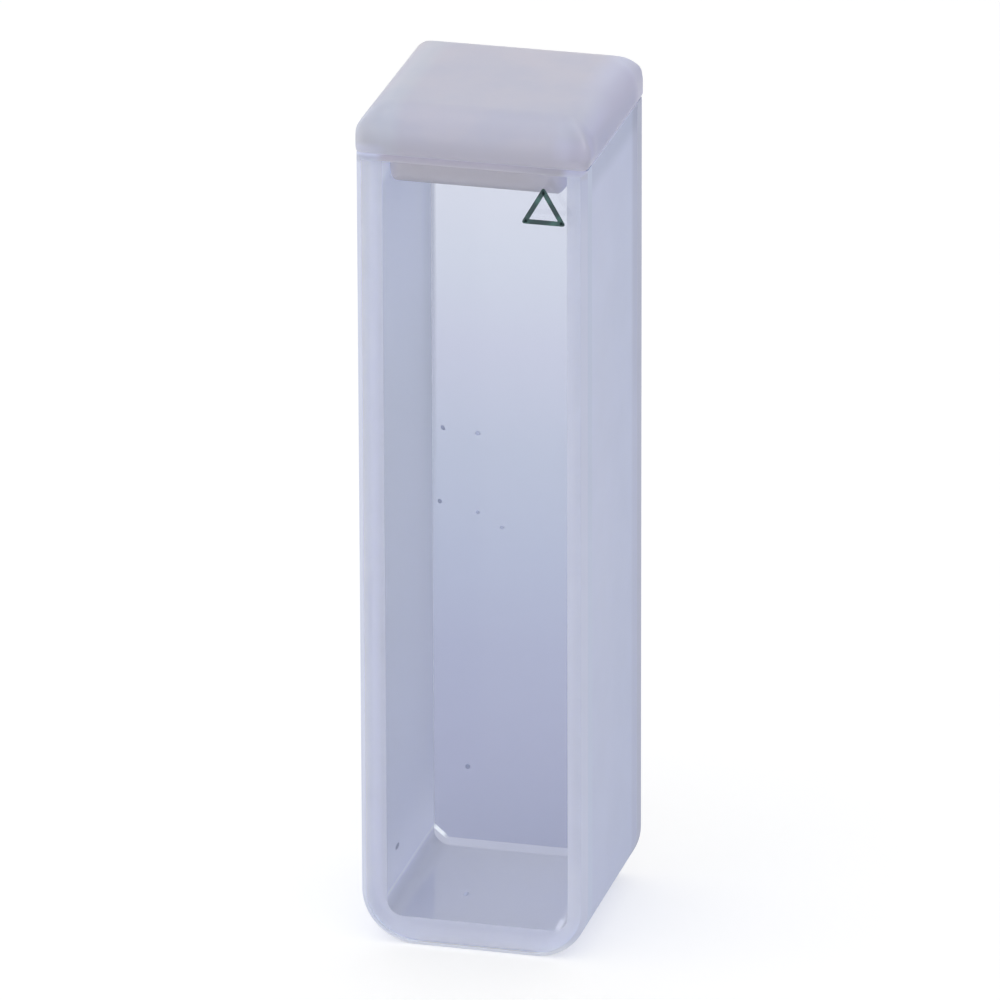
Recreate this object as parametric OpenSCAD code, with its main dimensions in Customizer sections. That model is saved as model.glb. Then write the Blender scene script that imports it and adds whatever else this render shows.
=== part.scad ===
// Rectangular spectrophotometer cell of fused quartz, with a loose stopper lid.
// The cell stands on its floor. X runs across the side walls, Y runs through the
// two windows with the front one at -Y, Z is up, and the origin is the middle of
// the underside.

/* [Cell] */
// Light path: the clear distance between the two windows
light_path = 10; // [4:0.5:20]
// Thickness of each polished window
window_t = 1.25; // [0.8:0.05:2]
// Clear width between the two side walls
well_w = 10; // [6:0.5:20]
// Thickness of each side wall
wall_t = 1.25; // [1:0.05:2]
// Height of the cell without its lid
cell_h = 45; // [20:0.5:60]
// Thickness of the floor
floor_t = 1.35; // [1:0.05:3]

/* [Corners and bevels] */
// Radius of the two lower corners, seen through the windows
foot_r = 3; // [1:0.1:3.2]
// Radius inside, where each side wall runs into the floor
well_r = 0.9; // [0.6:0.1:2]
// Bevel round the outer face of each window
bevel = 0.3; // [0.1:0.05:0.5]

/* [Lid flange] */
// How far the flange stands out over the cell on every side
lid_overhang = 0.1; // [0:0.05:0.6]
// Thickness of the flange
lid_t = 2.6; // [2.4:0.05:4]
// Rounding of the flange's top edges
lid_top_r = 1.8; // [0.4:0.1:1.8]
// Rounding of the flange's bottom edges
lid_under_r = 0.3; // [0.1:0.05:0.5]
// Radius of the flange's four upright corners
lid_corner_r = 0.6; // [0.2:0.1:3]

/* [Lid plug] */
// How deep the plug reaches into the cell
plug_depth = 1.9; // [1.2:0.1:5]
// Gap between the plug and the cell's inner faces
plug_gap = 0.15; // [0.05:0.05:0.4]
// Rounding of the plug's lower edges
plug_foot_r = 0.8; // [0.2:0.1:1]
// Radius of the plug's four upright corners
plug_corner_r = 1; // [0.2:0.1:1.5]

/* [Hidden] */
// sides of every circle, fine enough that a drawn arc follows the true one
$fn = 96;
// outside width of the cell, across the side walls
cell_w = well_w + 2 * wall_t;
// outside depth of the cell, through the windows
cell_d = light_path + 2 * window_t;
// reach of a cutter past the face that it opens
past = 1;

// Outline w wide and h high that stands on the axis, with corners of radius r at
// its two lower ends.
module footed_outline(w, h, r) {
    translate([-w / 2, r]) square([w, h - r]);
    translate([-w / 2 + r, 0]) square([w - 2 * r, h]);
    for (side = [-1, 1])
        translate([side * (w / 2 - r), r]) circle(r);
}

// Outline drawn across and up, carried from front to back through the depth.
module through_depth(depth) {
    translate([0, depth / 2, 0]) rotate([90, 0, 0]) linear_extrude(depth) children();
}

// Outline drawn from front to back and up, carried across the width.
module across_width(width) {
    translate([-width / 2, 0, 0]) rotate([90, 0, 90]) linear_extrude(width) children();
}

// The U of the two side walls and the floor, which the windows close in front and
// behind.
module side_frame() {
    color([0.78, 0.81, 0.89])
        through_depth(light_path)
            difference() {
                footed_outline(cell_w, cell_h, foot_r);
                translate([0, floor_t])
                    footed_outline(well_w, cell_h - floor_t + past, well_r);
            }
}

// Section through a plate that is `long` and lies with its outer face up, with a
// bevel along the two edges of that face.
module bevelled_section(long) {
    polygon([
        [-long / 2, 0], [long / 2, 0],
        [long / 2, window_t - bevel], [long / 2 - bevel, window_t],
        [-long / 2 + bevel, window_t], [-long / 2, window_t - bevel]
    ]);
}

// A window lying on its inner face, with its foot at y = 0. Two crossed sections
// bevel the straight edges, and a cone bevels each rounded lower corner.
module window_plate() {
    intersection() {
        translate([0, cell_h, 0]) rotate([90, 0, 0])
            linear_extrude(cell_h) bevelled_section(cell_w);
        translate([0, cell_h / 2, 0]) across_width(cell_w) bevelled_section(cell_h);
        union() {
            translate([-cell_w / 2, foot_r, 0])
                cube([cell_w, cell_h - foot_r, window_t]);
            translate([-cell_w / 2 + foot_r, 0, 0])
                cube([cell_w - 2 * foot_r, cell_h, window_t]);
        }
    }
    for (side = [-1, 1])
        translate([side * (cell_w / 2 - foot_r), foot_r, 0]) {
            cylinder(h = window_t - bevel, r = foot_r);
            translate([0, 0, window_t - bevel])
                cylinder(h = bevel, r1 = foot_r, r2 = foot_r - bevel);
        }
}

// The window is stood up and set against the front of the frame.
module front_window() {
    color([0.72, 0.76, 0.86, 0.5])
        translate([0, -light_path / 2, 0]) rotate([90, 0, 0]) window_plate();
}

// The rear window mirrors the front one.
module rear_window() {
    mirror([0, 1, 0]) front_window();
}

// Section of a slab w wide and h high, standing on the axis, with its two upper
// corners rounded by upper_r and its two lower ones by lower_r.
module slab_section(w, h, upper_r, lower_r) {
    intersection() {
        footed_outline(w, h, lower_r);
        translate([0, h]) mirror([0, 1]) footed_outline(w, h, upper_r);
    }
}

// Rectangle w by d, centred on the axis, with its four corners rounded by r.
module rounded_rectangle(w, d, r) {
    square([w, d - 2 * r], center = true);
    square([w - 2 * r, d], center = true);
    for (x = [-1, 1], y = [-1, 1])
        translate([x * (w / 2 - r), y * (d / 2 - r)]) circle(r);
}

// Slab w wide, d deep and h high. Its rounded edges meet in a mitre over each
// upright corner, which is rounded by corner_r.
module moulded_slab(w, d, h, corner_r, upper_r, lower_r) {
    intersection() {
        across_width(w) slab_section(d, h, upper_r, lower_r);
        through_depth(d) slab_section(w, h, upper_r, lower_r);
        linear_extrude(h) rounded_rectangle(w, d, corner_r);
    }
}

// The lid: a flange that rests on the top of the cell, and a plug that hangs
// inside it. The plug runs up into the flange by its own edge rounding.
module lid() {
    color([0.80, 0.79, 0.84]) {
        translate([0, 0, cell_h])
            moulded_slab(
                cell_w + 2 * lid_overhang, cell_d + 2 * lid_overhang, lid_t,
                lid_corner_r, lid_top_r, lid_under_r
            );
        translate([0, 0, cell_h - plug_depth])
            moulded_slab(
                well_w - 2 * plug_gap, light_path - 2 * plug_gap,
                plug_depth + plug_foot_r,
                plug_corner_r, plug_foot_r, plug_foot_r
            );
    }
}

side_frame();
front_window();
rear_window();
lid();
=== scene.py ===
"""A quartz spectrophotometer cell with its stopper lid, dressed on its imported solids."""
import bmesh
import bpy
import math
from mathutils import Matrix, Vector


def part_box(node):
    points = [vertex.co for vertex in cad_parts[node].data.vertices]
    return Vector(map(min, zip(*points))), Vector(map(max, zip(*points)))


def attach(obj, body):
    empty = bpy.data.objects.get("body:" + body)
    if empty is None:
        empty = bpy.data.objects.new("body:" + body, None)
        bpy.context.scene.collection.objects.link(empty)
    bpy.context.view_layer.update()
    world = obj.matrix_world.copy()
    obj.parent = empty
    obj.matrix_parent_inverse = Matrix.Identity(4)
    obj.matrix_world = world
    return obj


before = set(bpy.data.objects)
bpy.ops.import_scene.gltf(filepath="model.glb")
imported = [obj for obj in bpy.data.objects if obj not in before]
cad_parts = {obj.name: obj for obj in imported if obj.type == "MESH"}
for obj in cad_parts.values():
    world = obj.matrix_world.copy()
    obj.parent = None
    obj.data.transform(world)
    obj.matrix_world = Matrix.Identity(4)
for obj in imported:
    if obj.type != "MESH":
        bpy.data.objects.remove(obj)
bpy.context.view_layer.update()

# ---------------------------------------------------------------- side frame
# One U of fused quartz, the two side walls and the floor, sawn from a block. The
# outside is ground to an even frost, and the faces of the well are polished.
MM = 0.001
wall_outer_x, window_inner_y, cell_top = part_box("side_frame")[1]
wall_inner_x = 5.0 * MM
floor_top = 1.35 * MM
well_round = 0.9 * MM
foot_round = 3.0 * MM
# the height of the cell, and of the line where its walls begin to round into the
# floor, in millimetres
rim = cell_top / MM
fillet_line = 2.42
# how far a test on a face reaches past the face
hair = 0.02 * MM
quartz_index = 1.458
black = (0, 0, 0, 1)
# painted shade on the ground side faces, towards the foot, the rear and the lid
side_face_foot = (0.58, 0.628, 0.835, 1)
side_face_top = (0.64, 0.69, 0.90, 1)
rear_half_shade = (0.965, 0.975, 0.985, 1)
rear_side_shade_foot = (0.92, 0.91, 0.92, 1)
rear_side_shade_top = (0.835, 0.825, 0.835, 1)
side_painted_shade_near_lid = (0.97, 0.965, 0.985, 1)
side_in_lid_shade = (0.84, 0.855, 0.865, 1)
end_face_foot = (0.73, 0.765, 0.92, 1)
end_face_top = (0.755, 0.795, 0.945, 1)
# painted light and shade over the left end face: darker by the well, lighter out to the edge and
# at the foot
lift_by_well = (0.80, 0.80, 0.82, 1)
lift_by_edge = (1.31, 1.285, 1.32, 1)
lift_by_foot = (1.10, 1.08, 1.04, 1)
# painted shade over the right end face, lighter at its edge and darker under the lid
right_end_shade = (0.845, 0.843, 0.85, 1)
right_end_shade_at_foot = (0.90, 0.895, 0.88, 1)
right_end_edge_lift = (1.07, 1.075, 1.07, 1)
right_end_top_shade = (0.93, 0.935, 0.95, 1)
right_end_shade_under_lid = (0.92, 0.905, 0.93, 1)
# how much painted light the end faces gain up to the lid
left_end_painted_light = 0.06
right_end_painted_light = 0.10
# the well's faces, with painted shade towards the foot and the rear
well_wall_foot = (0.71, 0.74, 0.88, 1)
well_wall_top = (0.82, 0.86, 0.96, 1)
rear_wall_shade_foot = (1.01, 1.01, 1.03, 1)
rear_wall_shade_top = (0.89, 0.895, 0.90, 1)
well_fillet = (0.83, 0.86, 0.99, 1)
well_floor = (0.51, 0.54, 0.68, 1)
# how much the painted highlight lightens the line where a wall begins to round into the floor
fillet_highlight_gain = 0.18
# painted light, an emission for daylight that soaks through the ground walls and glows inside,
# low down and near the top
glow_at_floor = (0.090, 0.096, 0.108, 1)
glow_low = (0.015, 0.020, 0.030, 1)
glow_high = (0.085, 0.095, 0.145, 1)
glow_beside_plug = (0.20, 0.215, 0.27, 1)
# and painted light in the groove under the lid, which lifts its shade
groove_glow = (0.06, 0.06, 0.07, 1)
glow_under_lid = (0.165, 0.15, 0.15, 1)
daylight_through_frost = (0.95, 0.96, 0.98, 1)
# how far the ground tone swings in clouds, how strongly its grain shows, and how much
# the polished floor gleams
frost_clouds = 0.10
frost_grain = 0.25
floor_gloss = 0.28


def add_node(tree, kind, inputs=(), **settings):
    """A node with its settings, and its inputs given by name or number as values or sockets."""
    node = tree.nodes.new(kind)
    for name, value in settings.items():
        setattr(node, name, value)
    for key, value in dict(inputs).items():
        if isinstance(value, bpy.types.NodeSocket):
            tree.links.new(value, node.inputs[key])
        else:
            node.inputs[key].default_value = value
    return node


def maths(tree, operation, *values):
    """The result of one Math node."""
    return add_node(tree, "ShaderNodeMath", enumerate(values), operation=operation).outputs[0]


def vector_maths(tree, operation, *values):
    """The result of one Vector Math node that puts out a vector."""
    node = add_node(tree, "ShaderNodeVectorMath", enumerate(values), operation=operation)
    return node.outputs["Vector"]


def ramp(tree, value, low, high, kind="SMOOTHSTEP"):
    """0 at `low`, 1 at `high`, and a smooth change between, or a straight one."""
    node = add_node(
        tree, "ShaderNodeMapRange",
        {"Value": value, "From Min": low, "From Max": high},
        interpolation_type=kind,
    )
    return node.outputs["Result"]


def object_axes(tree):
    """The place on the piece, split along its three axes."""
    place = add_node(tree, "ShaderNodeTexCoord").outputs["Object"]
    return add_node(tree, "ShaderNodeSeparateXYZ", {0: place}).outputs


def zone(tree, axes, **spans):
    """0 at the first end and 1 at the second end of a span in mm along each axis given."""
    share = None
    for axis, (near, far) in spans.items():
        step = ramp(tree, axes[axis], near * MM, far * MM)
        share = step if share is None else maths(tree, "MULTIPLY", share, step)
    return share


def band(tree, axes, axis, low, high, soft):
    """1 between `low` and `high` along an axis, fading over `soft` outside them, in mm."""
    start = zone(tree, axes, **{axis: (low - soft, low)})
    end = zone(tree, axes, **{axis: (high + soft, high)})
    return maths(tree, "MULTIPLY", start, end)


def blend_colour(tree, share, first, second):
    """Two colours blended by a share from 0 to 1."""
    node = add_node(
        tree, "ShaderNodeMix", {0: share, 6: first, 7: second}, data_type="RGBA"
    )
    return node.outputs[2]


def tint_where(tree, share, colour, tint):
    """A colour, multiplied by a tint as far as a share from 0 to 1 says."""
    node = add_node(
        tree, "ShaderNodeMix", {0: share, 6: colour, 7: tint},
        data_type="RGBA", blend_type="MULTIPLY",
    )
    return node.outputs[2]


def scale_colour(tree, colour, factor):
    """A colour multiplied by a number."""
    return add_node(
        tree, "ShaderNodeVectorMath", {0: colour, "Scale": factor}, operation="SCALE"
    ).outputs[0]


def brighten(tree, colour, share, gain):
    """A colour made brighter by a gain, as far as a share says."""
    return scale_colour(tree, colour, maths(tree, "MULTIPLY_ADD", share, gain, 1.0))


def new_material(name):
    """An empty material with its node tree and the input of its output node."""
    material = bpy.data.materials.new(name)
    material.use_nodes = True
    material.node_tree.nodes.clear()
    out = add_node(material.node_tree, "ShaderNodeOutputMaterial")
    return material, material.node_tree, out.inputs["Surface"]


def new_group(name, inputs, outputs):
    """An empty node group with named sockets, each given with its kind."""
    group = bpy.data.node_groups.new(name, "ShaderNodeTree")
    for way, sockets in (("INPUT", inputs), ("OUTPUT", outputs)):
        for label, kind in sockets.items():
            group.interface.new_socket(label, in_out=way, socket_type="NodeSocket" + kind)
    return group


def ground_quartz_group():
    """The frost that grinding leaves: a cloudy tone and a fine grain."""
    group = new_group(
        "ground_quartz",
        {"Tone": "Color", "Cloud": "Float"},
        {"Colour": "Color", "Height": "Float"},
    )
    into = add_node(group, "NodeGroupInput")
    place = add_node(group, "ShaderNodeTexCoord").outputs["Object"]
    cloud = add_node(
        group, "ShaderNodeTexNoise",
        {"Vector": place, "Scale": 260.0, "Detail": 3.0, "Roughness": 0.55},
    )
    grain = add_node(
        group, "ShaderNodeTexNoise",
        {"Vector": place, "Scale": 9000.0, "Detail": 2.0, "Roughness": 0.6},
    )
    swing = maths(group, "SUBTRACT", cloud.outputs["Fac"], 0.5)
    tone = brighten(group, into.outputs["Tone"], swing, into.outputs["Cloud"])
    add_node(group, "NodeGroupOutput", {"Colour": tone, "Height": grain.outputs["Fac"]})
    return group


ground_quartz = ground_quartz_group()


def frosted(tree, tone):
    """The ground finish in one tone: its colour, and the normal of its grain."""
    frost = add_node(
        tree, "ShaderNodeGroup", {"Tone": tone, "Cloud": frost_clouds}, node_tree=ground_quartz
    )
    bump = add_node(
        tree, "ShaderNodeBump",
        {"Height": frost.outputs["Height"], "Strength": frost_grain, "Distance": 0.01 * MM},
    )
    return frost.outputs["Colour"], bump.outputs[0]


def footed_outline_group():
    """The distance outside an outline with two rounded lower corners, and how far into one."""
    group = new_group(
        "footed_outline",
        {"Half Width": "Float", "Foot": "Float", "Radius": "Float"},
        {"Distance": "Float", "Into Corner": "Float"},
    )
    into = add_node(group, "NodeGroupInput")
    radius = into.outputs["Radius"]
    axes = object_axes(group)
    bend_x = maths(group, "SUBTRACT", into.outputs["Half Width"], radius)
    bend_z = maths(group, "ADD", into.outputs["Foot"], radius)
    past_side = maths(group, "SUBTRACT", maths(group, "ABSOLUTE", axes["X"]), bend_x)
    past_foot = maths(group, "SUBTRACT", bend_z, axes["Z"])
    bend = add_node(
        group, "ShaderNodeCombineXYZ",
        {
            0: maths(group, "MAXIMUM", past_side, 0.0),
            2: maths(group, "MAXIMUM", past_foot, 0.0),
        },
    )
    outside = add_node(group, "ShaderNodeVectorMath", {0: bend.outputs[0]}, operation="LENGTH")
    furthest = maths(group, "MAXIMUM", past_side, past_foot)
    inside = maths(group, "MINIMUM", furthest, 0.0)
    reach = maths(group, "ADD", outside.outputs["Value"], inside)
    distance = maths(group, "SUBTRACT", reach, radius)
    into_corner = maths(group, "MINIMUM", past_side, past_foot)
    add_node(group, "NodeGroupOutput", {"Distance": distance, "Into Corner": into_corner})
    return group


footed_outline = footed_outline_group()


def outline(tree, half_width, foot, radius):
    """The distance outside an outline, negative within it, and how far into a corner."""
    sizes = {"Half Width": half_width, "Foot": foot, "Radius": radius}
    return add_node(tree, "ShaderNodeGroup", sizes, node_tree=footed_outline).outputs


def let_daylight_through(tree, solid, tint):
    """Quartz passes light on into the cell, in a tint, where a solid shader would stop it."""
    rays = add_node(tree, "ShaderNodeLightPath")
    daylight = add_node(tree, "ShaderNodeBsdfTransparent", {"Color": tint})
    return add_node(
        tree, "ShaderNodeMixShader",
        {0: rays.outputs["Is Shadow Ray"], 1: solid.outputs[0], 2: daylight.outputs[0]},
    )


def near_lid(tree, axes):
    """A share that grows up the last millimetres of the cell, to 1 at the lid."""
    return zone(tree, axes, Z=(rim - 8, rim))


def by_lid(tree, axes):
    """A share for the faces just below the lid, which it shades."""
    return zone(tree, axes, Z=(rim - 1.9, rim - 0.7))


def side_tone(tree, axes):
    """The ground side faces, with painted shade towards the foot, the rear and the lid."""
    tone = blend_colour(tree, zone(tree, axes, Z=(0, rim)), side_face_foot, side_face_top)
    rear_half = zone(tree, axes, Y=(-3.5, 2.0))
    tone = tint_where(tree, rear_half, tone, rear_half_shade)
    high_up = zone(tree, axes, Z=(20, 40))
    rear_shade = blend_colour(tree, high_up, rear_side_shade_foot, rear_side_shade_top)
    near_rear = zone(tree, axes, Y=(3.5, 4.3))
    tone = tint_where(tree, near_rear, tone, rear_shade)
    tone = tint_where(tree, near_lid(tree, axes), tone, side_painted_shade_near_lid)
    return tint_where(tree, by_lid(tree, axes), tone, side_in_lid_shade)


def end_tone(tree, axes):
    """The fused end faces, with painted light where a window dims them towards its ground edge,
    and painted shade on the right end and under the lid.
    """
    end = blend_colour(tree, zone(tree, axes, Z=(0, rim)), end_face_foot, end_face_top)
    past_edge = outline(tree, wall_outer_x, 0.0, foot_round)["Distance"]

    low_down = zone(tree, axes, Z=(3.5, 1.0))
    by_edge = blend_colour(tree, low_down, lift_by_edge, lift_by_foot)
    outwards = ramp(tree, past_edge, -1.05 * MM, -0.10 * MM, kind="LINEAR")
    lift = blend_colour(tree, outwards, lift_by_well, by_edge)
    left = vector_maths(tree, "MULTIPLY", end, lift)
    left = brighten(tree, left, near_lid(tree, axes), left_end_painted_light)

    low_down = zone(tree, axes, Z=(8, 3))
    shade = blend_colour(tree, low_down, right_end_shade, right_end_shade_at_foot)
    right = vector_maths(tree, "MULTIPLY", end, shade)
    at_edge = ramp(tree, past_edge, -0.75 * MM, -0.15 * MM)
    right = tint_where(tree, at_edge, right, right_end_edge_lift)
    right = tint_where(tree, by_lid(tree, axes), right, right_end_top_shade)
    under_lid = zone(tree, axes, Z=(rim - 0.65, rim - 0.30))
    right = tint_where(tree, under_lid, right, right_end_shade_under_lid)
    right = brighten(tree, right, near_lid(tree, axes), right_end_painted_light)

    to_right = ramp(tree, axes["X"], wall_inner_x - 0.8 * MM, wall_inner_x + 0.2 * MM)
    return blend_colour(tree, to_right, left, right)


def well_tone(tree, axes):
    """The well's faces, with painted shade towards the foot and the rear, and a painted highlight
    where each wall begins to round into the floor.
    """
    rise = zone(tree, axes, Z=(0, rim))
    wall = blend_colour(tree, rise, well_wall_foot, well_wall_top)
    rear_shade = blend_colour(tree, rise, rear_wall_shade_foot, rear_wall_shade_top)
    wall = tint_where(tree, zone(tree, axes, Y=(2.5, 4.6)), wall, rear_shade)
    on_fillet = zone(tree, axes, Z=(fillet_line, fillet_line - 0.1))
    on_floor = zone(tree, axes, Z=(fillet_line - 0.1, floor_top / MM))
    foot = blend_colour(tree, on_floor, well_fillet, well_floor)
    inside = blend_colour(tree, on_fillet, wall, foot)
    line = band(tree, axes, "Z", fillet_line - 0.04, fillet_line + 0.10, 0.10)
    return brighten(tree, inside, line, fillet_highlight_gain)


def well_painted_light(tree, axes):
    """Painted light in the walls of the well, an emission that is strongest beside the plug of
    the lid.
    """
    glow = blend_colour(tree, zone(tree, axes, Z=(7, 2.5)), glow_low, glow_at_floor)
    glow = blend_colour(tree, zone(tree, axes, Z=(28, rim)), glow, glow_high)
    above_fillet = zone(tree, axes, Z=(fillet_line - 0.1, fillet_line))
    glow = scale_colour(tree, glow, above_fillet)
    beside_plug = zone(tree, axes, Z=(rim - 2.2, rim - 1.2), Y=(-2.0, -3.4))
    return blend_colour(tree, beside_plug, glow, glow_beside_plug)


def frame_groove_painted_light(tree, axes):
    """Painted light, an emission in the groove under the lid and on the top faces that the lid
    rests on.
    """
    on_top = maths(tree, "GREATER_THAN", axes["Z"], cell_top - 0.5 * hair)
    groove = zone(tree, axes, Z=(rim - 0.10, rim - 0.02))
    glow = blend_colour(tree, groove, black, groove_glow)
    return blend_colour(tree, on_top, glow, glow_under_lid)


def frosted_quartz_material():
    """Ground outside, polished in the well, and evenly pale at the fused ends."""
    material, tree, surface = new_material("frosted_quartz")
    axes = object_axes(tree)
    across = maths(tree, "ABSOLUTE", axes["X"])
    along = maths(tree, "ABSOLUTE", axes["Y"])
    in_width = maths(tree, "LESS_THAN", across, wall_inner_x + hair)
    over_floor = maths(tree, "GREATER_THAN", axes["Z"], floor_top - hair)
    between_ends = maths(tree, "LESS_THAN", along, window_inner_y - hair)
    in_well = maths(tree, "MULTIPLY", maths(tree, "MULTIPLY", in_width, over_floor), between_ends)

    ground = blend_colour(tree, between_ends, end_tone(tree, axes), side_tone(tree, axes))
    ground_colour, grain = frosted(tree, ground)
    frost = add_node(
        tree, "ShaderNodeBsdfPrincipled",
        {
            "Base Color": ground_colour, "Roughness": 0.6, "IOR": quartz_index,
            "Subsurface Weight": 0.4, "Subsurface Scale": 0.4 * MM,
            "Subsurface Radius": (1.0, 1.0, 1.1), "Normal": grain,
            "Emission Color": frame_groove_painted_light(tree, axes), "Emission Strength": 1.0,
        },
    )
    # only the flat of the floor gleams
    level = ramp(tree, axes["Z"], floor_top + 0.5 * well_round, floor_top)
    polish = add_node(
        tree, "ShaderNodeBsdfPrincipled",
        {
            "Base Color": well_tone(tree, axes), "Roughness": 0.03, "IOR": quartz_index,
            "Specular IOR Level": maths(tree, "MULTIPLY", level, floor_gloss),
            "Emission Color": well_painted_light(tree, axes), "Emission Strength": 1.0,
        },
    )
    solid = add_node(
        tree, "ShaderNodeMixShader", {0: in_well, 1: frost.outputs[0], 2: polish.outputs[0]}
    )
    whole = let_daylight_through(tree, solid, daylight_through_frost)
    tree.links.new(whole.outputs[0], surface)
    return material


def dress(node, material):
    """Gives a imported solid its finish."""
    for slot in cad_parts[node].material_slots:
        slot.material = material


dress("side_frame", frosted_quartz_material())
# Five microns of air keep the fused faces apart, so that each is seen through the other.
seam_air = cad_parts["side_frame"].modifiers.new("seam_air", "DISPLACE")
seam_air.mid_level = 0
seam_air.strength = -0.005 * MM

# ------------------------------------------------------------------- windows
# Two plates of clear fused quartz, polished on both faces, with ground edges and a
# narrow bevel round the outer face. They are fused to the ends of the side frame.
white = (1, 1, 1, 1)
# the bevel, with painted light on its left side, a painted highlight along the foot, and painted
# shade at the top of its right side
bevel_tone = (0.64, 0.675, 0.845, 1)
bevel_tone_left = (0.67, 0.71, 0.855, 1)
foot_bevel_painted_highlight = (0.85, 0.88, 0.98, 1)
right_bevel_top_shade = (0.90, 0.91, 0.95, 1)
# painted shade of the lid on the bevel
shaded_bevel_left = (0.54, 0.57, 0.69, 1)
shaded_bevel_over_well = (0.52, 0.51, 0.595, 1)
shaded_bevel_over_right = (0.455, 0.455, 0.525, 1)
shaded_bevel_right = (0.555, 0.58, 0.73, 1)
# painted light, an emission for light that soaks into the groove under the lid and along the
# lower end of the seam
bevel_glow = (0.065, 0.065, 0.075, 1)
bevel_glow_left = (0.18, 0.19, 0.215, 1)
seam_foot_glow = (0.10, 0.13, 0.28, 1)
window_low, window_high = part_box("front_window")
window_middle_y = -(window_low.y + window_high.y) / 2
front_edge_tone = (0.587, 0.649, 0.846, 1)
rear_edge_tone = (0.508, 0.544, 0.705, 1)
# the ground edges seen from inside the glass, painted paler to lift their shade
inside_edge_painted_light = (0.93, 0.97, 1.0, 1)
clear_cast = (0.96, 0.965, 0.98, 1)
# the cast of each window at heights up the cell in millimetres, from foot to top; the rear's
# deepening towards the foot is painted shade of what is seen through it
front_cast = ((0.0, (0.95, 0.955, 0.975, 1)),)
rear_cast = (
    (3.2, (0.128, 0.149, 0.293, 1)),
    (7.3, (0.134, 0.154, 0.305, 1)),
    (13.1, (0.149, 0.175, 0.334, 1)),
    (18.9, (0.182, 0.222, 0.390, 1)),
    (24.8, (0.226, 0.272, 0.436, 1)),
    (30.6, (0.308, 0.342, 0.523, 1)),
    (35.8, (0.387, 0.439, 0.599, 1)),
    (43.0, (0.510, 0.540, 0.690, 1)),
)
# how squarely a polished face, and a bevel, faces along the light path at the least
polished_flatness = 0.98
bevel_flatness = 0.5
# how strongly each window's faces gleam
front_gleam = 1.0
rear_gleam = 0.3
# painted shade along the left edge of the rear window, at its seam, strongest at the top
rear_edge_shade = (0.36, 0.37, 0.45, 1)
# the bead that the rear seam leaves along the floor, painted paler as light on it and darker in
# its corners, and a painted glint where it turns up
bead_height = 0.48 * MM
bead_cast = (0.255, 0.282, 0.44, 1)
bead_corner_cast = (0.235, 0.26, 0.40, 1)
painted_glint_cast = (0.76, 0.86, 1.0, 1)
painted_glint_glow = (0.17, 0.17, 0.19, 1)
# where each painted glint starts and ends, across and up in millimetres
rear_glint = ((-5.05, 2.47), (-4.32, 1.85))
front_glint = ((4.77, 2.15), (4.38, 1.33))


def cast_by_height(tree, axes, stops):
    """A colour that passes through its stops, each at a height in millimetres."""
    colour = stops[0][1]
    for (low, _), (high, tone) in zip(stops, stops[1:]):
        step = ramp(tree, axes["Z"], low * MM, high * MM, kind="LINEAR")
        colour = blend_colour(tree, step, colour, tone)
    return colour


def clear_quartz(tree, axes, stops, seam_marks, gleam):
    """The polished faces, clear and with a faint cast over the well."""
    rays = add_node(tree, "ShaderNodeLightPath")
    to_outline = outline(tree, wall_inner_x, floor_top, well_round)["Distance"]
    over_well = ramp(tree, to_outline, hair, 0.0)
    cast, glint = seam_marks(tree, axes, cast_by_height(tree, axes, stops))
    cast = blend_colour(tree, rays.outputs["Is Transmission Ray"], clear_cast, cast)
    inner_face = maths(tree, "LESS_THAN", maths(tree, "ABSOLUTE", axes["Y"]), window_middle_y)
    tinted = maths(tree, "MULTIPLY", over_well, inner_face)
    gleaming = maths(tree, "MULTIPLY", glint, inner_face)
    return add_node(
        tree, "ShaderNodeBsdfPrincipled",
        {
            "Base Color": blend_colour(tree, tinted, clear_cast, cast),
            "Roughness": 0.0, "IOR": quartz_index, "Transmission Weight": 1.0,
            "Specular Tint": (gleam, gleam, gleam, 1),
            "Emission Color": blend_colour(tree, gleaming, black, painted_glint_glow),
            "Emission Strength": 1.0,
        },
    )


def over_left_wall(tree, axes):
    """A share for what lies over the left wall of the frame."""
    return zone(tree, axes, X=(-4.7, -5.3))


def bevel_finish(tree, axes):
    """The bevel's tone round the window, with painted light and shade, and painted shade of the
    lid along the top.
    """
    to_left = over_left_wall(tree, axes)
    rim_tone = blend_colour(tree, to_left, bevel_tone, bevel_tone_left)
    rim_tone = blend_colour(tree, zone(tree, axes, Z=(1.5, 0.3)), rim_tone, foot_bevel_painted_highlight)
    right_top = zone(tree, axes, X=(5.3, 5.9), Z=(rim - 3.5, rim - 0.8))
    rim_tone = tint_where(tree, right_top, rim_tone, right_bevel_top_shade)

    at_ends = blend_colour(tree, to_left, shaded_bevel_right, shaded_bevel_left)
    to_right = zone(tree, axes, X=(1.0, 4.5))
    over = blend_colour(tree, to_right, shaded_bevel_over_well, shaded_bevel_over_right)
    in_width = ramp(tree, maths(tree, "ABSOLUTE", axes["X"]), 5.3 * MM, 4.7 * MM)
    shaded = blend_colour(tree, in_width, at_ends, over)
    return blend_colour(tree, zone(tree, axes, Z=(rim - 0.6, rim - 0.3)), rim_tone, shaded)


def window_edge_painted_light(tree, axes, on_bevel, from_inside):
    """Painted light, an emission in the bevel under the lid and in the ground edge at the foot of
    the seam.
    """
    under_lid = maths(tree, "MULTIPLY", zone(tree, axes, Z=(rim - 0.20, rim - 0.03)), on_bevel)
    glow = blend_colour(tree, over_left_wall(tree, axes), bevel_glow, bevel_glow_left)
    glow = blend_colour(tree, under_lid, black, glow)
    along = maths(tree, "ABSOLUTE", axes["Y"])
    by_seam = ramp(tree, along, window_inner_y + 0.45 * MM, window_inner_y + 0.05 * MM)
    by_seam = maths(tree, "MULTIPLY", by_seam, zone(tree, axes, Z=(3.5, 2.0)))
    by_seam = maths(tree, "MULTIPLY", by_seam, from_inside)
    return blend_colour(tree, by_seam, glow, seam_foot_glow)


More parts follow.
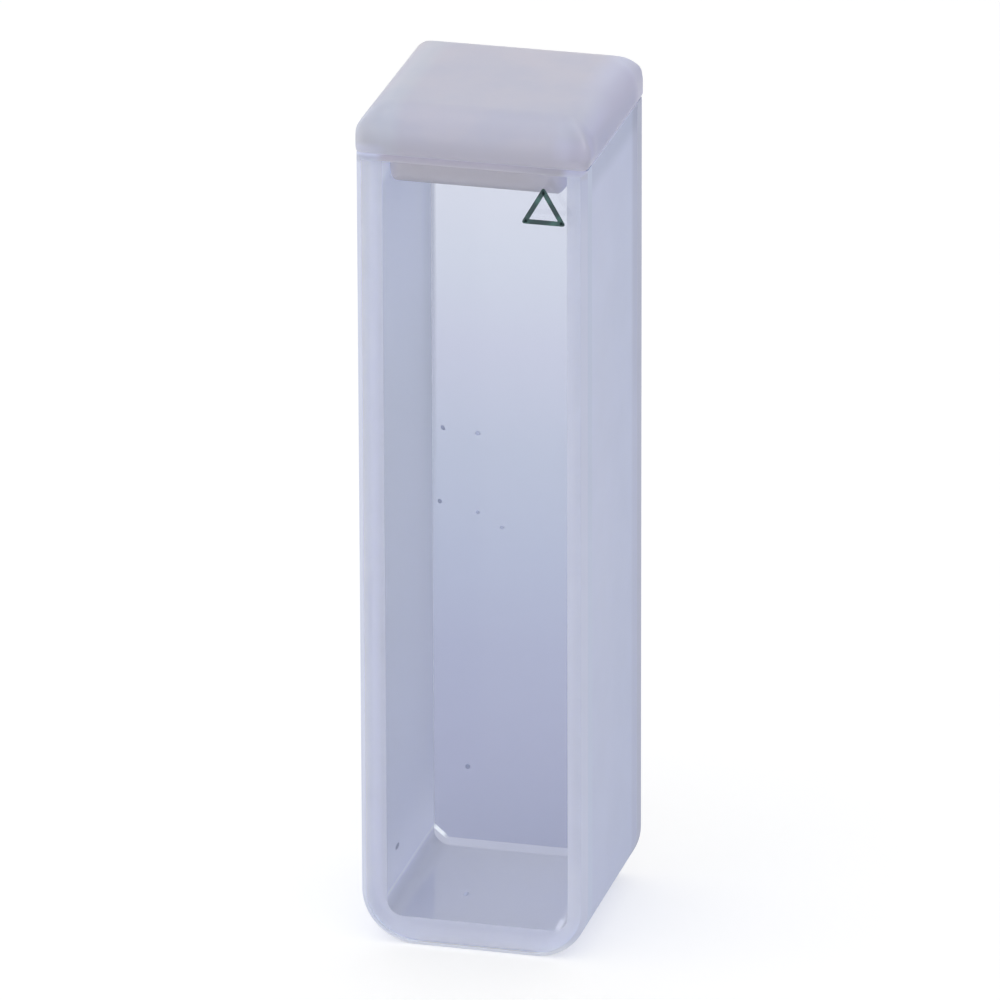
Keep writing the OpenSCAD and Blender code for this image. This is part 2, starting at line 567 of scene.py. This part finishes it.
def polished_quartz_material(name, stops, edge_tone, seam_marks, gleam):
    """Clear glass with a faint cast, ground edges, and painted light and shade at its fused seam.
    """
    material, tree, surface = new_material(name)
    axes = object_axes(tree)
    glass = clear_quartz(tree, axes, stops, seam_marks, gleam)

    geometry = add_node(tree, "ShaderNodeNewGeometry")
    facing = add_node(tree, "ShaderNodeSeparateXYZ", {0: geometry.outputs["True Normal"]})
    flatness = maths(tree, "ABSOLUTE", facing.outputs["Y"])
    ground = maths(tree, "LESS_THAN", flatness, polished_flatness)
    on_bevel = maths(tree, "GREATER_THAN", flatness, bevel_flatness)
    from_inside = geometry.outputs["Backfacing"]
    edge = blend_colour(tree, from_inside, edge_tone, inside_edge_painted_light)
    colour, grain = frosted(
        tree, blend_colour(tree, on_bevel, edge, bevel_finish(tree, axes))
    )
    frost = add_node(
        tree, "ShaderNodeBsdfPrincipled",
        {
            "Base Color": colour, "Roughness": 0.55, "IOR": quartz_index, "Normal": grain,
            "Emission Color": window_edge_painted_light(tree, axes, on_bevel, from_inside),
            "Emission Strength": 1.0,
        },
    )
    solid = add_node(
        tree, "ShaderNodeMixShader", {0: ground, 1: glass.outputs[0], 2: frost.outputs[0]}
    )
    whole = let_daylight_through(tree, solid, white)
    tree.links.new(whole.outputs[0], surface)
    return material


def stroke(tree, axes, ends, width, soft):
    """A stroke between two ends that are given across and up in millimetres, soft all round."""
    start, end = [Vector((across, 0, up)) * MM for across, up in ends]
    run = end - start
    place = add_node(tree, "ShaderNodeCombineXYZ", {0: axes["X"], 2: axes["Z"]})
    gap = vector_maths(tree, "SUBTRACT", place.outputs[0], start)
    share = add_node(
        tree, "ShaderNodeVectorMath", {0: gap, 1: run / run.length_squared},
        operation="DOT_PRODUCT",
    )
    share = maths(tree, "MINIMUM", maths(tree, "MAXIMUM", share.outputs["Value"], 0.0), 1.0)
    nearest = add_node(
        tree, "ShaderNodeVectorMath", {0: run, "Scale": share}, operation="SCALE"
    )
    away = add_node(
        tree, "ShaderNodeVectorMath", {0: gap, 1: nearest.outputs[0]}, operation="DISTANCE"
    )
    line = ramp(tree, away.outputs["Value"], width / 2 + soft, width / 2)
    from_end = maths(tree, "PINGPONG", share, 0.5)
    return maths(tree, "MULTIPLY", line, ramp(tree, from_end, -0.1, 0.3))


def rear_seam(tree, axes, cast):
    """Painted shade along the left edge, the seam's bead painted pale along the floor, and a
    painted glint where the bead turns up.
    """
    at_edge = ramp(tree, axes["X"], 0.34 * MM - wall_inner_x, 0.10 * MM - wall_inner_x)
    at_edge = maths(tree, "MULTIPLY", at_edge, zone(tree, axes, Z=(14, 44)))
    cast = tint_where(tree, at_edge, cast, rear_edge_shade)
    bead = outline(tree, wall_inner_x, floor_top + bead_height, well_round)
    in_corner = ramp(tree, bead["Into Corner"], 0.0, 0.3 * MM)
    bead_tone = blend_colour(tree, in_corner, bead_cast, bead_corner_cast)
    cast = blend_colour(tree, ramp(tree, bead["Distance"], -hair, hair), cast, bead_tone)
    glint = stroke(tree, axes, rear_glint, width=0.14 * MM, soft=0.08 * MM)
    return blend_colour(tree, glint, cast, painted_glint_cast), 0.0


def front_seam(tree, axes, cast):
    """A faint painted glint, an emission inside the right corner of the well."""
    return cast, stroke(tree, axes, front_glint, width=0.10 * MM, soft=0.14 * MM)


front_quartz = polished_quartz_material(
    "front_quartz", front_cast, front_edge_tone, front_seam, front_gleam
)
dress("front_window", front_quartz)
rear_quartz = polished_quartz_material(
    "rear_quartz", rear_cast, rear_edge_tone, rear_seam, rear_gleam
)
dress("rear_window", rear_quartz)

# ----------------------------------------------------------------------- lid
# A stopper of milky white PTFE, moulded in one: a flange that rests on the cell, and
# a plug that hangs inside it. It lifts off by hand.
lid_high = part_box("lid")[1]
lid_top_round = 1.8 * MM
# how deep the plug hangs, in millimetres
plug_depth = 1.9
fluoropolymer_index = 1.35
lid_cool = (0.50, 0.51, 0.625, 1)
lid_warm = (0.565, 0.55, 0.635, 1)
# painted shade at the foot of the flange, and painted light on its underside
lid_low_painted_shade = (0.48, 0.475, 0.57, 1)
lid_under_painted_light = (0.74, 0.72, 0.87, 1)
# how far the right side goes without the tone of the underside
lid_under_loss_on_right = 0.8
# painted light on the right roll, and painted shade on the right side
lid_roll_painted_light = (0.59, 0.605, 0.765, 1)
lid_right_painted_shade = (0.50, 0.51, 0.70, 1)
lid_right_back_painted_shade = (0.52, 0.52, 0.70, 1)
lid_right_low_shade = (0.86, 0.885, 0.94, 1)
# painted light along the rolls, at the corners and along the lower edge of the flange
lid_left_lift = (1.03, 1.065, 1.04, 1)
lid_left_corner_lift = (1.14, 1.17, 1.12, 1)
lid_left_lip_lift = (1.05, 1.06, 1.11, 1)
lid_right_roll_lift = (1.075, 1.09, 1.09, 1)
lid_right_foot_lift = (1.14, 1.135, 1.18, 1)
lid_right_lip_lift = (1.04, 1.045, 1.06, 1)
lid_right_back_lift = (1.17, 1.19, 1.15, 1)
# painted light, an emission for daylight that the flange takes in along its lower edge
lid_under_glow = (0.02, 0.02, 0.03, 1)
lid_under_glow_left = (0.07, 0.08, 0.12, 1)
lid_lip_glow_right = (0.07, 0.07, 0.08, 1)
# the plug, with painted shade towards its foot and along its lower edge, and painted light
# towards the right
plug_tone = (0.56, 0.54, 0.61, 1)
plug_foot_tone = (0.47, 0.46, 0.53, 1)
plug_edge_shade = (0.85, 0.85, 0.87, 1)
plug_right_lift = (1.16, 1.18, 1.22, 1)


def pillow_top(tree, axes):
    """The lid's normal, turned evenly where two rolls of the top meet."""
    steps = []
    slopes = []
    for axis, reach in (("X", lid_high.x), ("Y", lid_high.y)):
        out = maths(tree, "ABSOLUTE", axes[axis])
        past = maths(tree, "SUBTRACT", out, reach - lid_top_round)
        step = maths(tree, "DIVIDE", maths(tree, "MAXIMUM", past, 0.0), lid_top_round)
        step = maths(tree, "MINIMUM", step, 1.0)
        steps.append(step)
        slopes.append(maths(tree, "MULTIPLY", step, maths(tree, "SIGN", axes[axis])))
    # it leans as far as the steeper roll does, and turns evenly from one to the other
    lean = maths(tree, "MAXIMUM", *steps)
    rest = maths(tree, "SUBTRACT", 1.0, maths(tree, "MULTIPLY", lean, lean))
    upwards = maths(tree, "SQRT", maths(tree, "MAXIMUM", rest, 0.0))
    towards = add_node(tree, "ShaderNodeCombineXYZ", {0: slopes[0], 1: slopes[1]})
    sideways = scale_colour(tree, vector_maths(tree, "NORMALIZE", towards.outputs[0]), lean)
    rise = add_node(tree, "ShaderNodeCombineXYZ", {2: upwards})
    ball = vector_maths(tree, "ADD", sideways, rise.outputs[0])
    geometry = add_node(tree, "ShaderNodeNewGeometry")
    on_top = zone(tree, axes, Z=(rim + 0.4, rim + 0.7))
    mixed = add_node(
        tree, "ShaderNodeMix", {0: on_top, 4: geometry.outputs["Normal"], 5: ball},
        data_type="VECTOR",
    )
    return vector_maths(tree, "NORMALIZE", mixed.outputs[1])


def right_face(tree, axes):
    """A share for the upright right side of the flange, but not its front corner."""
    return zone(tree, axes, X=(5.3, 6.35), Y=(-6.3, -5.0))


def flange_tone(tree, axes, cloud):
    """Cool and warm in clouds, with painted light on the right roll and painted shade at the foot
    and on the right side.
    """
    to_rear = zone(tree, axes, Y=(-2.0, 5.5))
    mottle = maths(tree, "MULTIPLY", ramp(tree, cloud, 0.3, 0.7), 0.5)
    mottle = maths(tree, "MULTIPLY_ADD", to_rear, 0.5, mottle)
    tone = blend_colour(tree, mottle, lid_cool, lid_warm)
    on_roll = zone(tree, axes, X=(4.2, 5.6), Y=(-5.0, 3.0))
    tone = blend_colour(tree, on_roll, tone, lid_roll_painted_light)
    low_down = zone(tree, axes, Z=(rim + 1.7, rim + 0.2))
    tone = blend_colour(tree, low_down, tone, lid_low_painted_shade)
    to_back = zone(tree, axes, Y=(-5.0, 3.0))
    right_tone = blend_colour(tree, to_back, lid_right_painted_shade, lid_right_back_painted_shade)
    on_right = right_face(tree, axes)
    tone = blend_colour(tree, on_right, tone, right_tone)
    low_middle = zone(tree, axes, Z=(rim + 1.6, rim + 0.6))
    low_middle = maths(tree, "MULTIPLY", low_middle, band(tree, axes, "Y", -3.5, 3.5, 1.5))
    low_middle = maths(tree, "MULTIPLY", low_middle, on_right)
    return tint_where(tree, low_middle, tone, lid_right_low_shade)


def lift_corners(tree, axes, tone):
    """Painted light along the left side, up the right roll, and at three of the corners."""
    left_side = band(tree, axes, "X", -4.9, -4.5, 0.9)
    tone = tint_where(tree, left_side, tone, lid_left_lift)
    left_corner = zone(tree, axes, X=(-4.9, -5.9), Y=(-4.8, -5.6))
    tone = tint_where(tree, left_corner, tone, lid_left_corner_lift)

    right_corner = zone(tree, axes, X=(4.2, 5.3), Y=(-4.8, -5.6))
    above = zone(tree, axes, Z=(rim + 1.3, rim + 2.0))
    front_roll = zone(tree, axes, X=(4.6, 5.7), Y=(0.5, -3.0))
    front_roll = maths(tree, "MULTIPLY", front_roll, above)
    lip = zone(tree, axes, Z=(rim + 0.8, rim + 0.4))
    lift = blend_colour(tree, above, lid_right_foot_lift, lid_right_roll_lift)
    lift = blend_colour(tree, lip, lift, lid_right_lip_lift)
    tone = tint_where(tree, maths(tree, "MAXIMUM", front_roll, right_corner), tone, lift)

    right_back = zone(tree, axes, X=(4.6, 5.7), Y=(3.8, 5.6))
    tone = tint_where(tree, right_back, tone, lid_right_back_lift)
    left_lip = maths(tree, "MULTIPLY", zone(tree, axes, X=(-4.4, -5.1)), lip)
    return tint_where(tree, left_lip, tone, lid_left_lip_lift)


def underside(tree, axes):
    """A share for the lower edge of the flange, where it rounds under to the cell."""
    return zone(tree, axes, Z=(rim + 0.14, rim + 0.02))


def plug_finish(tree, axes):
    """The plug, with painted shade towards its foot and along its lower edge, and painted light
    towards the right.
    """
    down_plug = zone(tree, axes, Z=(rim, rim - plug_depth))
    tone = blend_colour(tree, down_plug, plug_tone, plug_foot_tone)
    lower_edge = zone(tree, axes, Z=(rim - 1.62, rim - 1.80))
    tone = tint_where(tree, lower_edge, tone, plug_edge_shade)
    return tint_where(tree, zone(tree, axes, X=(2.0, 5.0)), tone, plug_right_lift)


def flange_painted_light(tree, axes):
    """Painted light, an emission along the lower edge, most over the left wall and on the right
    side.
    """
    to_left = over_left_wall(tree, axes)
    glow = blend_colour(tree, to_left, lid_under_glow, lid_under_glow_left)
    glow = blend_colour(tree, underside(tree, axes), black, glow)
    right_lip = zone(tree, axes, Z=(rim + 0.28, rim + 0.15))
    right_lip = maths(tree, "MULTIPLY", right_lip, right_face(tree, axes))
    return blend_colour(tree, right_lip, glow, lid_lip_glow_right)


def fluoropolymer_material():
    """Waxy and faintly cloudy, warmer where the plug hangs in the well."""
    material, tree, surface = new_material("fluoropolymer")
    place = add_node(tree, "ShaderNodeTexCoord").outputs["Object"]
    axes = object_axes(tree)
    cloud = add_node(
        tree, "ShaderNodeTexNoise",
        {"Vector": place, "Scale": 320.0, "Detail": 3.0, "Roughness": 0.5},
    ).outputs["Fac"]
    tone = lift_corners(tree, axes, flange_tone(tree, axes, cloud))
    loss = maths(tree, "MULTIPLY", right_face(tree, axes), lid_under_loss_on_right)
    off_right = maths(tree, "SUBTRACT", 1.0, loss)
    under = maths(tree, "MULTIPLY", underside(tree, axes), off_right)
    tone = blend_colour(tree, under, tone, lid_under_painted_light)
    on_plug = ramp(tree, axes["Z"], cell_top + hair, cell_top - hair)
    bump = add_node(
        tree, "ShaderNodeBump",
        {
            "Height": cloud, "Strength": 0.15, "Distance": 0.05 * MM,
            "Normal": pillow_top(tree, axes),
        },
    )
    shader = add_node(
        tree, "ShaderNodeBsdfPrincipled",
        {
            "Base Color": blend_colour(tree, on_plug, tone, plug_finish(tree, axes)),
            "Roughness": 0.42, "IOR": fluoropolymer_index,
            "Subsurface Weight": 0.7, "Subsurface Scale": 0.6 * MM,
            "Subsurface Radius": (1.0, 0.95, 0.9), "Normal": bump.outputs[0],
            "Emission Color": blend_colour(tree, on_plug, flange_painted_light(tree, axes), black),
            "Emission Strength": 1.0,
        },
    )
    tree.links.new(shader.outputs[0], surface)
    return material


dress("lid", fluoropolymer_material())
# The moulding softens the mitres that its rounded edges make over the corners.
moulded_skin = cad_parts["lid"].modifiers.new("moulded_skin", "REMESH")
moulded_skin.mode = "VOXEL"
moulded_skin.voxel_size = 0.1 * MM
moulded_skin.use_smooth_shade = True
soft_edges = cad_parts["lid"].modifiers.new("soft_edges", "SMOOTH")
soft_edges.factor = 0.5
soft_edges.iterations = 7

# ----------------------------------------------------------- light path mark
# A small arrowhead in green enamel, fired on the front window, that shows which way
# the light path runs. It is a thin outline with rounded corners.
mark_middle_x = 3.94 * MM
mark_middle_z = 42.62 * MM
mark_radius = 1.42 * MM
mark_stroke = 0.26 * MM
mark_corner = 0.22 * MM
enamel_sunk = 0.01 * MM
enamel_raised = 0.02 * MM
enamel_deep = (0.018, 0.045, 0.052, 1)
enamel_thin = (0.045, 0.125, 0.115, 1)
quarter_turn = math.radians(90)


def new_piece(name, shape, material):
    """A piece made from a finished bmesh, hung on the root body."""
    piece = bpy.data.objects.new(name, bpy.data.meshes.new(name))
    shape.to_mesh(piece.data)
    shape.free()
    piece.data.materials.append(material)
    bpy.context.collection.objects.link(piece)
    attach(piece, "root")
    return piece


def enamel_material():
    """Dark green enamel, thinner in places."""
    material, tree, surface = new_material("green_enamel")
    place = add_node(tree, "ShaderNodeTexCoord").outputs["Object"]
    cover = add_node(
        tree, "ShaderNodeTexNoise",
        {"Vector": place, "Scale": 1400.0, "Detail": 2.0, "Roughness": 0.5},
    )
    thin = ramp(tree, cover.outputs["Fac"], 0.4, 0.7)
    tone = blend_colour(tree, thin, enamel_deep, enamel_thin)
    shader = add_node(
        tree, "ShaderNodeBsdfPrincipled", {"Base Color": tone, "Roughness": 0.45, "IOR": 1.5}
    )
    # its thin lines throw no shadow that shows on the frame behind them
    whole = let_daylight_through(tree, shader, white)
    tree.links.new(whole.outputs[0], surface)
    return material


arrowhead = bmesh.new()
bmesh.ops.create_circle(arrowhead, cap_ends=True, segments=3, radius=mark_radius)
bmesh.ops.bevel(
    arrowhead, geom=arrowhead.verts[:], offset=mark_corner, offset_type="OFFSET",
    affect="VERTICES", segments=5, profile=0.5, material=-1,
)
inset = bmesh.ops.inset_region(
    arrowhead, faces=arrowhead.faces[:], thickness=mark_stroke,
    use_boundary=True, use_even_offset=True,
)
middle = [face for face in arrowhead.faces if face not in inset["faces"]]
bmesh.ops.delete(arrowhead, geom=middle, context="FACES")
grown = bmesh.ops.extrude_face_region(arrowhead, geom=arrowhead.faces[:])
raised = [part for part in grown["geom"] if isinstance(part, bmesh.types.BMVert)]
bmesh.ops.translate(arrowhead, verts=raised, vec=(0, 0, enamel_sunk + enamel_raised))
bmesh.ops.recalc_face_normals(arrowhead, faces=arrowhead.faces[:])
bmesh.ops.transform(
    arrowhead,
    matrix=Matrix.Translation((mark_middle_x, window_low.y + enamel_sunk, mark_middle_z))
    @ Matrix.Rotation(quarter_turn, 4, "X"),
    verts=arrowhead.verts[:],
)
light_path_mark = new_piece("light_path_mark", arrowhead, enamel_material())

# ---------------------------------------------------------------------- lint
# Flakes of blue-grey lint, some of them faint, that cling to the polished faces of the
# well. Each is a flat tuft of fluff, held there by static.
flakes = (
    # face, place on it, width and height, and turn in degrees, all but the turn in
    # millimetres, then whether the flake is a faint one
    ("rear", (-4.40, 25.70), (0.22, 0.32), 35, False),
    ("rear", (-2.46, 25.56), (0.30, 0.26), 0, True),
    ("rear", (-4.59, 21.44), (0.24, 0.28), 20, False),
    ("rear", (-2.49, 21.00), (0.24, 0.24), 0, True),
    ("rear", (-1.14, 20.25), (0.26, 0.20), 0, True),
    ("rear", (-3.10, 6.10), (0.30, 0.30), 0, False),
    ("left", (-2.80, 4.42), (0.80, 0.30), 0, False),
    ("floor", (-1.58, -1.30), (0.28, 0.60), 0, True),
)
flake_thickness = 0.05 * MM
dark_lint_tones = ((0.26, 0.29, 0.42, 1), (0.43, 0.475, 0.64, 1))
faint_lint_tones = ((0.44, 0.48, 0.64, 1), (0.60, 0.64, 0.81, 1))


def lint_material(name, tones):
    """Dull fluff in two tones."""
    material, tree, surface = new_material(name)
    place = add_node(tree, "ShaderNodeTexCoord").outputs["Object"]
    fluff = add_node(tree, "ShaderNodeTexNoise", {"Vector": place, "Scale": 9000.0})
    tone = blend_colour(tree, fluff.outputs["Fac"], *tones)
    shader = add_node(tree, "ShaderNodeBsdfPrincipled", {"Base Color": tone, "Roughness": 0.9})
    tree.links.new(shader.outputs[0], surface)
    return material


def turned(*turns):
    """The matrix of quarter turns about the axes given, the last one made first."""
    matrix = Matrix.Identity(4)
    for axis in turns:
        matrix = matrix @ Matrix.Rotation(quarter_turn, 4, axis)
    return matrix


def lay_on(face, first, second):
    """The matrix that lays a flat piece on a face of the well, at a place along it."""
    if face == "rear":
        return Matrix.Translation((first, window_inner_y, second)) @ turned("X")
    if face == "left":
        return Matrix.Translation((-wall_inner_x, first, second)) @ turned("Y", "Z")
    return Matrix.Translation((first, second, floor_top))


lint = bmesh.new()
for face, (first, second), (width, tall), degrees, faint in flakes:
    place = lay_on(face, first * MM, second * MM)
    spin = Matrix.Rotation(math.radians(degrees), 4, "Z")
    size = Matrix.Diagonal((width * MM / 2, tall * MM / 2, flake_thickness / 2, 1))
    flake = bmesh.ops.create_icosphere(
        lint, subdivisions=2, radius=1, matrix=place @ spin @ size
    )
    for facet in {facet for vertex in flake["verts"] for facet in vertex.link_faces}:
        facet.material_index = int(faint)
        facet.smooth = True
lint_flakes = new_piece("lint_flakes", lint, lint_material("lint", dark_lint_tones))
lint_flakes.data.materials.append(lint_material("faint_lint", faint_lint_tones))

# ------------------------------------------------------ floor, light, camera
# A pale floor that fades into a white surround, a soft overhead light and an even
# fill, seen from the front right and above.
# how brightly the surround lights the cell, where it isn't seen directly
ambient = 0.72
floor_size = 3.0
paper_grey = (0.80, 0.80, 0.80, 1)
# how much the floor glows where it is seen directly
paper_glow = 0.32
cell_middle = Vector((0, 0, 0.025))
softbox_size = 0.30
view_azimuth = math.radians(14.436)
view_elevation = math.radians(21.492)
view_roll = math.radians(-0.188)
view_distance = 0.664743
view_target = Vector((-0.068 * MM, 0, 23.672 * MM))
lens_length = 448.07
film_width = 36.0


def seen_directly(tree):
    """1 for the rays that carry a view: from the camera, off gloss or through glass."""
    rays = add_node(tree, "ShaderNodeLightPath")
    seen = maths(
        tree, "MAXIMUM", rays.outputs["Is Camera Ray"], rays.outputs["Is Glossy Ray"]
    )
    return maths(tree, "MAXIMUM", seen, rays.outputs["Is Transmission Ray"])


world = bpy.data.worlds.new("surround")
bpy.context.scene.world = world
world.use_nodes = True
background = world.node_tree.nodes["Background"]
level = add_node(
    world.node_tree, "ShaderNodeMix",
    {0: seen_directly(world.node_tree), 2: ambient, 3: 1.0}, data_type="FLOAT",
)
world.node_tree.links.new(level.outputs[0], background.inputs["Strength"])
background.inputs["Color"].default_value = white


def paper_material():
    """White paper, which glows a little where it is seen directly."""
    material, tree, surface = new_material("paper")
    matt = add_node(tree, "ShaderNodeBsdfDiffuse", {"Color": paper_grey})
    glow = add_node(
        tree, "ShaderNodeEmission",
        {
            "Color": white,
            "Strength": maths(tree, "MULTIPLY", seen_directly(tree), paper_glow),
        },
    )
    both = add_node(tree, "ShaderNodeAddShader", {0: matt.outputs[0], 1: glow.outputs[0]})
    tree.links.new(both.outputs[0], surface)
    return material


sheet = bmesh.new()
bmesh.ops.create_grid(sheet, x_segments=1, y_segments=1, size=floor_size / 2)
floor = bpy.data.objects.new("floor", bpy.data.meshes.new("floor"))
sheet.to_mesh(floor.data)
sheet.free()
floor.data.materials.append(paper_material())
bpy.context.collection.objects.link(floor)


def softbox(name, place, power):
    """A square area light turned to face the cell."""
    light = bpy.data.lights.new(name, "AREA")
    light.size = softbox_size
    light.energy = power
    lamp = bpy.data.objects.new(name, light)
    lamp.location = place
    lamp.rotation_euler = (cell_middle - Vector(place)).to_track_quat("-Z", "Y").to_euler()
    bpy.context.collection.objects.link(lamp)


softbox("overhead", place=(-0.08, -0.06, 0.42), power=0.34)
softbox("front fill", place=(-0.26, -0.52, 0.16), power=0.55)

back = Vector((
    math.sin(view_azimuth) * math.cos(view_elevation),
    -math.cos(view_azimuth) * math.cos(view_elevation),
    math.sin(view_elevation),
))
right = Vector((math.cos(view_azimuth), math.sin(view_azimuth), 0))
level_view = Matrix((right, back.cross(right), back)).transposed().to_4x4()
camera = bpy.data.objects.new("camera", bpy.data.cameras.new("camera"))
camera.data.lens = lens_length
camera.data.sensor_width = film_width
camera.matrix_world = (
    Matrix.Translation(view_target + back * view_distance)
    @ level_view
    @ Matrix.Rotation(view_roll, 4, "Z")
)
bpy.context.collection.objects.link(camera)
bpy.context.scene.camera = camera
bpy.context.scene.view_settings.view_transform = "Standard"
